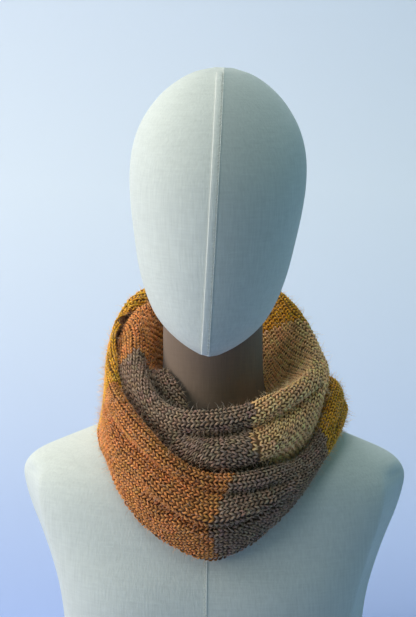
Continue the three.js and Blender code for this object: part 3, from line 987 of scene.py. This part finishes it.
def loft(name, rings, material):
    """A closed solid through level rings, with a fan across each end."""
    rings = np.asarray(rings)
    count, sides = rings.shape[:2]
    points = np.concatenate((rings.reshape(-1, 3), rings[:1].mean(axis=1), rings[-1:].mean(axis=1)))
    faces = [list(face) for face in ring_faces(count, sides, False)]
    low, high = count * sides, count * sides + 1
    top = (count - 1) * sides
    for i in range(sides):
        beside = (i + 1) % sides
        faces.append([low, beside, i])
        faces.append([high, top + i, top + beside])
    return mesh_piece(name, points * MM, faces, material)


def torso_ring(height):
    sizes = [follow(TORSO, "height", name, height) for name in ("half_width", "front", "back", "exponent")]
    return with_facets(level_ring(height, *sizes))


def head_pose(points):
    """Points on the upright head, leaned and turned as it is worn."""
    lean, turn = HEAD_TILT, HEAD_TURN
    x, y, z = (points - (0, 0, HEAD_MIDDLE[2])).T
    x, z = x * math.cos(lean) + z * math.sin(lean), -x * math.sin(lean) + z * math.cos(lean)
    x, y = x * math.cos(turn) - y * math.sin(turn), x * math.sin(turn) + y * math.cos(turn)
    return np.stack((x, y, z), axis=-1) + HEAD_MIDDLE


def with_keel(ring):
    """The ring with its front half drawn out towards the seam in the middle."""
    middle = (ring[SIDES // 4, 1] + ring[3 * SIDES // 4, 1]) / 2
    share = np.clip(1 - np.abs(ring[:, 0]) / (KEEL_REACH * ring[0, 0]), 0, 1) ** 2
    out = np.where(ring[:, 1] < middle, KEEL * share, 0)
    return ring - np.stack((0 * out, out, 0 * out), axis=-1)


def head_ring(height):
    sizes = [follow(HEAD, "height", name, height) for name in ("half_width", "front", "back")]
    return head_pose(with_keel(level_ring(height, *sizes, 2)))


def head_heights():
    """Levels of the head, closer together towards its two ends."""
    low, high = HEAD["height"][0], HEAD["height"][-1]
    return (low + high) / 2 - (high - low) / 2 * np.cos(np.pi * np.linspace(0.06, 0.985, 70))


def front_seam(ring_at, heights):
    """The line down the middle of a form's front, the ways along it and aside, and the way out."""
    line = np.array([ring_at(height)[3 * SIDES // 4] for height in heights])
    ahead = unit(np.gradient(line, axis=0))
    out = unit(np.cross(np.broadcast_to((1.0, 0.0, 0.0), ahead.shape), ahead))
    return line, ahead, unit(np.cross(ahead, out)), out


def seam_strip(name, seam, half_width, rise, shift):
    """A raised strip along a seam, its middle shifted aside."""
    line, _, aside, out = seam
    section = np.array([(-1, -0.4), (-0.8, 0.7), (0, 1), (0.8, 0.7), (1, -0.4)])
    rings = (
        line[:, None]
        + aside[:, None] * (section[None, :, :1] * half_width + shift)
        + out[:, None] * section[None, :, 1:] * rise
    )
    faces = [face[::-1] for face in ring_faces(len(line), len(section), False)]
    return mesh_piece(name, rings.reshape(-1, 3) * MM, faces, THREAD)


def seam_stitches(name, seam, spacing, shift):
    """Short slanted stitches that hold a seam down."""
    line, ahead, aside, out = seam
    lengths = np.concatenate(([0], np.cumsum(np.linalg.norm(np.diff(line, axis=0), axis=1))))
    places = np.arange(spacing, lengths[-1] - spacing, spacing)

    def at(values):
        return np.stack([np.interp(places, lengths, column) for column in values.T], axis=-1)

    thread = [(-1.2, -0.8, -0.3), (-0.9, -0.6, 0.2), (0, 0, 0.4), (0.9, 0.6, 0.2), (1.2, 0.8, -0.3)]
    points, faces = swept(thread, (0.24, 0.26, 0.24), 5)
    frames = np.stack((at(aside), at(ahead), at(out)), axis=-1)
    middles = at(line) + at(aside) * shift + at(out) * 0.4
    strands = [(points @ frame.T + middle, faces) for frame, middle in zip(frames, middles)]
    vertices, sides = joined(strands)
    return mesh_piece(name, vertices * MM, sides, THREAD)


def make_form():
    heights = np.concatenate((np.arange(0, 170, 5), np.arange(170, 260.1, 2.5)))
    torso = loft("form_torso_cover", [torso_ring(h) for h in heights], LINEN)
    head = loft("form_head_cover", [head_ring(h) for h in head_heights()], LINEN)
    neck_heights = np.linspace(260.3, 352, 30)
    radii = follow(NECK, "height", "radius", neck_heights)
    neck_rings = [level_ring(h, r, r, r, 2) for h, r in zip(neck_heights, radii)]
    # The neck is covered with the linen that carries painted shade.
    neck = loft("form_neck_cover", neck_rings, SHADED_LINEN)
    return torso, neck, head


def make_seams():
    """The seam down the middle of the face, with a strip beside it, and the torso's own."""
    face = front_seam(head_ring, np.linspace(318, 557, 90))
    chest = front_seam(torso_ring, np.linspace(3, 215, 60))
    return [
        seam_strip("form_head_seam", face, 0.6, 0.35, 0.0),
        seam_strip("form_head_strip", face, 3.2, 0.2, -3.6),
        seam_stitches("form_head_stitches", face, 3.1, -1.0),
        seam_strip("form_torso_seam", chest, 0.8, 0.4, 0.0),
        seam_stitches("form_torso_stitches", chest, 3.4, -1.4),
    ]


# The studio


def make_backdrop():
    """A pale floor that sweeps up into the wall behind, with painted light across it, open to a camera that
    stands behind it.
    """
    material, nodes, shader = new_finish("backdrop_paper_painted_light", 0.95)
    place = nodes.add("ShaderNodeTexCoord", out="Object")
    parts = nodes.make("ShaderNodeSeparateXYZ", None, {0: place})
    along, height = Wire(nodes, parts.outputs[1]), Wire(nodes, parts.outputs[2])
    # Painted light: the paper is bluer and darker low down and towards the front, and lighter up the wall, as
    # the light falls on it.
    rise = nodes.add("ShaderNodeMapRange", None, {0: along + height, 1: 0.1, 2: 1.6, 3: 0.0, 4: 1.0})
    low, high = (*linear((164, 181, 224)), 1), (*linear((224, 230, 238)), 1)
    link(nodes, nodes.blend(rise, low, high), shader, "Base Color")
    from_behind = nodes.add("ShaderNodeNewGeometry", out="Backfacing")
    link(nodes, 1 - from_behind, shader, "Alpha")
    bend, depth, top = 0.7, 0.6, 2.6
    arc = [(depth + bend * math.sin(a), bend - bend * math.cos(a)) for a in np.linspace(0, math.pi / 2, 25)]
    profile = [(-3.0, 0.0), (-1.0, 0.0), (0.0, 0.0), *arc, (depth + bend, top)]
    points = [(x, y, z) for y, z in profile for x in (-3.0, 3.0)]
    faces = [(2 * i, 2 * i + 1, 2 * i + 3, 2 * i + 2) for i in range(len(profile) - 1)]
    sweep = mesh_piece("backdrop", points, faces, material)


def aim(thing, target):
    direction = np.asarray(target) - np.asarray(thing.location)
    away = math.hypot(direction[0], direction[1])
    rise = math.atan2(direction[2], away)
    turn = math.atan2(-direction[0], direction[1])
    thing.rotation_euler = (math.pi / 2 + rise, 0, turn)


def soft_light(name, place, target, size, watts, colour):
    lamp = bpy.data.lights.new(name, "AREA")
    lamp.shape = "RECTANGLE"
    lamp.size, lamp.size_y = size
    lamp.energy = watts
    lamp.color = colour
    holder = bpy.data.objects.new(name, lamp)
    holder.location = place
    bpy.context.scene.collection.objects.link(holder)
    aim(holder, target)


def make_studio():
    make_backdrop()
    soft_light("window", (-1.66, -0.1, 1.0), (0, 0, 0.35), (0.9, 0.9), 23, (1.0, 0.965, 0.92))
    soft_light("sky", (-0.4, -0.85, 1.9), (0, 0, 0.3), (0.9, 0.9), 8, (0.72, 0.84, 1.0))
    soft_light("front_left", (-1.4, -0.78, 0.42), (0, 0, 0.3), (0.8, 0.5), 6.5, (1.0, 0.97, 0.93))
    soft_light("far_side", (1.59, 0.58, 0.97), (0, 0, 0.35), (0.9, 0.9), 5, (0.28, 0.7, 0.92))
    soft_light("backdrop_light", (-0.4, 0.5, 2.3), (0.0, 1.3, 0.6), (1.6, 0.6), 17, (0.97, 0.98, 1.0))
    scene = bpy.context.scene
    scene.world = bpy.data.worlds.new("studio")
    scene.world.use_nodes = True
    background = scene.world.node_tree.nodes["Background"]
    background.inputs[0].default_value = (0.6, 1.0, 0.85, 1)
    background.inputs[1].default_value = 0.15
    scene.view_settings.view_transform = "Standard"
    lens = bpy.data.cameras.new("camera")
    lens.lens = 90
    lens.sensor_width = 36
    camera = bpy.data.objects.new("camera", lens)
    flat = CAMERA_AWAY * math.cos(CAMERA_RISE)
    camera.location = CAMERA_AIM + (
        flat * math.sin(CAMERA_TURN),
        -flat * math.cos(CAMERA_TURN),
        CAMERA_AWAY * math.sin(CAMERA_RISE),
    )
    scene.collection.objects.link(camera)
    aim(camera, CAMERA_AIM)
    scene.camera = camera


make_studio()
torso, neck, head = make_form()
for piece, node in ((torso, "form_torso"), (neck, "form_neck"), (head, "form_head")):
    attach(piece, "root")
    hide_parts(node)
for piece in make_seams():
    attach(piece, "root")

cloth = make_cloth()
stitches, stitch_frames = make_stitches()
fibres = make_fibres(stitch_frames)
for piece in (cloth, *stitches, *fibres):
    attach(piece, "root")
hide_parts("upper_wrap", "crossing_over", "lower_wrap", "crossing_under")
